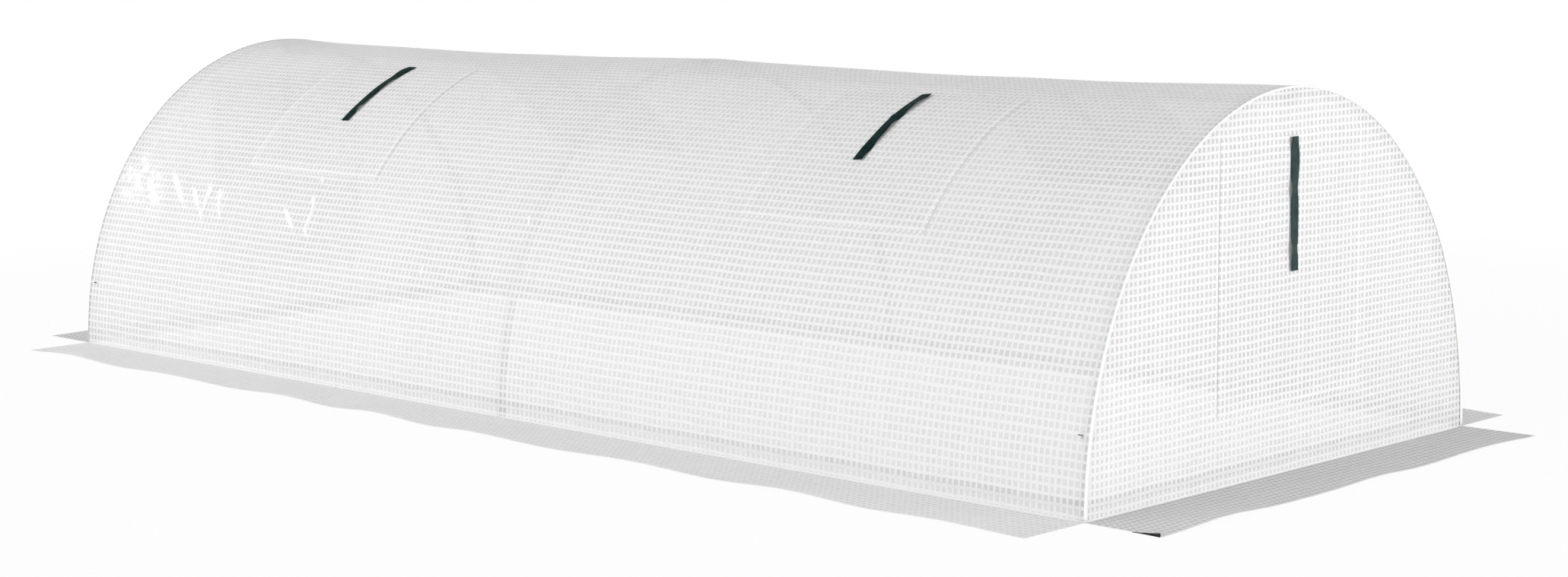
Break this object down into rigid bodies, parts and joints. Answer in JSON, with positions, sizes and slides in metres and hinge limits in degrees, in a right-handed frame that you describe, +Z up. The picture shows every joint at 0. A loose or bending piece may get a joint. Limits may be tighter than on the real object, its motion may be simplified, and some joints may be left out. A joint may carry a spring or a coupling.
{
  "type": "mini greenhouse",
  "caption": "Low garden tunnel with a translucent grid-film cover on tube hoops, roll-up windows with tie straps, and flat ground skirts to weigh down with soil.",
  "frame": {"origin": "centre of the footprint, on the ground under the middle hoop", "axes": "+X along the tunnel towards its front end, +Y towards its far long side, +Z up"},
  "size_m": [3.3228, 1.5206, 0.7],
  "materials": {
    "grid_film": "translucent white film with a woven-in grid",
    "skirt_film": "the same grid film, lying on the ground",
    "edge_tape": "white woven tape",
    "insect_net": "fine white net",
    "green_webbing": "dark green webbing",
    "black_webbing": "black webbing",
    "steel_tube": "galvanised",
    "plastic_connector": "moulded, matt, light grey"
  },
  "bodies": {
    "greenhouse": {"hoop_front_near": "steel_tube", "hoop_front_far": "steel_tube", "ridge_connector_front": "plastic_connector", "hoop_middle_near": "steel_tube", "hoop_middle_far": "steel_tube", "ridge_connector_middle": "plastic_connector", "hoop_rear_near": "steel_tube", "hoop_rear_far": "steel_tube", "ridge_connector_rear": "plastic_connector", "ridge_tube_front": "steel_tube", "end_tube_front": "steel_tube", "corner_connector_front_near": "plastic_connector", "base_tube_near_front": "steel_tube", "corner_connector_front_far": "plastic_connector", "base_tube_far_front": "steel_tube", "ridge_tube_rear": "steel_tube", "end_tube_rear": "steel_tube", "corner_connector_rear_near": "plastic_connector", "base_tube_near_rear": "steel_tube", "corner_connector_rear_far": "plastic_connector", "base_tube_far_rear": "steel_tube", "side_connector_near": "plastic_connector", "side_connector_far": "plastic_connector", "cover_roof": "grid_film", "end_panel_front": "grid_film", "end_panel_rear": "grid_film", "edge_binding_front": "edge_tape", "edge_binding_rear": "edge_tape", "skirt_near": "skirt_film", "skirt_far": "skirt_film", "skirt_front": "skirt_film", "skirt_rear": "skirt_film", "end_screen_front": "insect_net", "window_screen_front_near": "insect_net", "frame_tie_front_near": "black_webbing", "window_screen_front_far": "insect_net", "frame_tie_front_far": "black_webbing", "end_screen_rear": "insect_net", "window_screen_rear_near": "insect_net", "frame_tie_rear_near": "black_webbing", "window_screen_rear_far": "insect_net", "frame_tie_rear_far": "black_webbing", "corner_tab": "black_webbing"},
    "end_flap_front": {"end_flap_front": "grid_film"},
    "end_strap_front": {"end_strap_front": "green_webbing"},
    "window_flap_front_near": {"window_flap_front_near": "grid_film"},
    "window_strap_front_near": {"window_strap_front_near": "green_webbing"},
    "window_flap_front_far": {"window_flap_front_far": "grid_film"},
    "window_strap_front_far": {"window_strap_front_far": "green_webbing"},
    "end_flap_rear": {"end_flap_rear": "grid_film"},
    "end_strap_rear": {"end_strap_rear": "green_webbing"},
    "window_flap_rear_near": {"window_flap_rear_near": "grid_film"},
    "window_strap_rear_near": {"window_strap_rear_near": "green_webbing"},
    "window_flap_rear_far": {"window_flap_rear_far": "grid_film"},
    "window_strap_rear_far": {"window_strap_rear_far": "green_webbing"}
  },
  "joints": [
    {"name": "window_flap_front_near_hem", "type": "hinge", "parent": "greenhouse", "child": "window_flap_front_near", "pos_m": [0.79, -0.16673, 0.66545], "axis": [-1, 0, 0], "range_deg": [0, 100]},
    {"name": "window_strap_front_near_seam", "type": "hinge", "parent": "window_flap_front_near", "child": "window_strap_front_near", "pos_m": [0.782, -0.17436, 0.6633], "axis": [-1, 0, 0], "range_deg": [0, 65]},
    {"name": "window_flap_front_far_hem", "type": "hinge", "parent": "greenhouse", "child": "window_flap_front_far", "pos_m": [0.79, 0.16673, 0.66545], "axis": [1, 0, 0], "range_deg": [0, 100]},
    {"name": "window_strap_front_far_seam", "type": "hinge", "parent": "window_flap_front_far", "child": "window_strap_front_far", "pos_m": [0.79, 0.17436, 0.66331], "axis": [1, 0, 0], "range_deg": [0, 65]},
    {"name": "end_flap_front_hem", "type": "hinge", "parent": "greenhouse", "child": "end_flap_front", "pos_m": [1.5008, 0, 0.618], "axis": [0, -1, 0], "range_deg": [0, 100]},
    {"name": "end_strap_front_seam", "type": "hinge", "parent": "end_flap_front", "child": "end_strap_front", "pos_m": [1.5024, 0, 0.61], "axis": [0, -1, 0], "range_deg": [0, 65]},
    {"name": "window_flap_rear_near_hem", "type": "hinge", "parent": "greenhouse", "child": "window_flap_rear_near", "pos_m": [-0.79, -0.16673, 0.66545], "axis": [-1, 0, 0], "range_deg": [0, 100]},
    {"name": "window_strap_rear_near_seam", "type": "hinge", "parent": "window_flap_rear_near", "child": "window_strap_rear_near", "pos_m": [-0.778, -0.17436, 0.6633], "axis": [-1, 0, 0], "range_deg": [0, 65]},
    {"name": "window_flap_rear_far_hem", "type": "hinge", "parent": "greenhouse", "child": "window_flap_rear_far", "pos_m": [-0.79, 0.16673, 0.66545], "axis": [1, 0, 0], "range_deg": [0, 100]},
    {"name": "window_strap_rear_far_seam", "type": "hinge", "parent": "window_flap_rear_far", "child": "window_strap_rear_far", "pos_m": [-0.79, 0.17436, 0.66331], "axis": [1, 0, 0], "range_deg": [0, 65]},
    {"name": "end_flap_rear_hem", "type": "hinge", "parent": "greenhouse", "child": "end_flap_rear", "pos_m": [-1.5008, 0, 0.618], "axis": [0, 1, 0], "range_deg": [0, 100]},
    {"name": "end_strap_rear_seam", "type": "hinge", "parent": "end_flap_rear", "child": "end_strap_rear", "pos_m": [-1.5024, 0, 0.61], "axis": [0, 1, 0], "range_deg": [0, 65]}
  ]
}
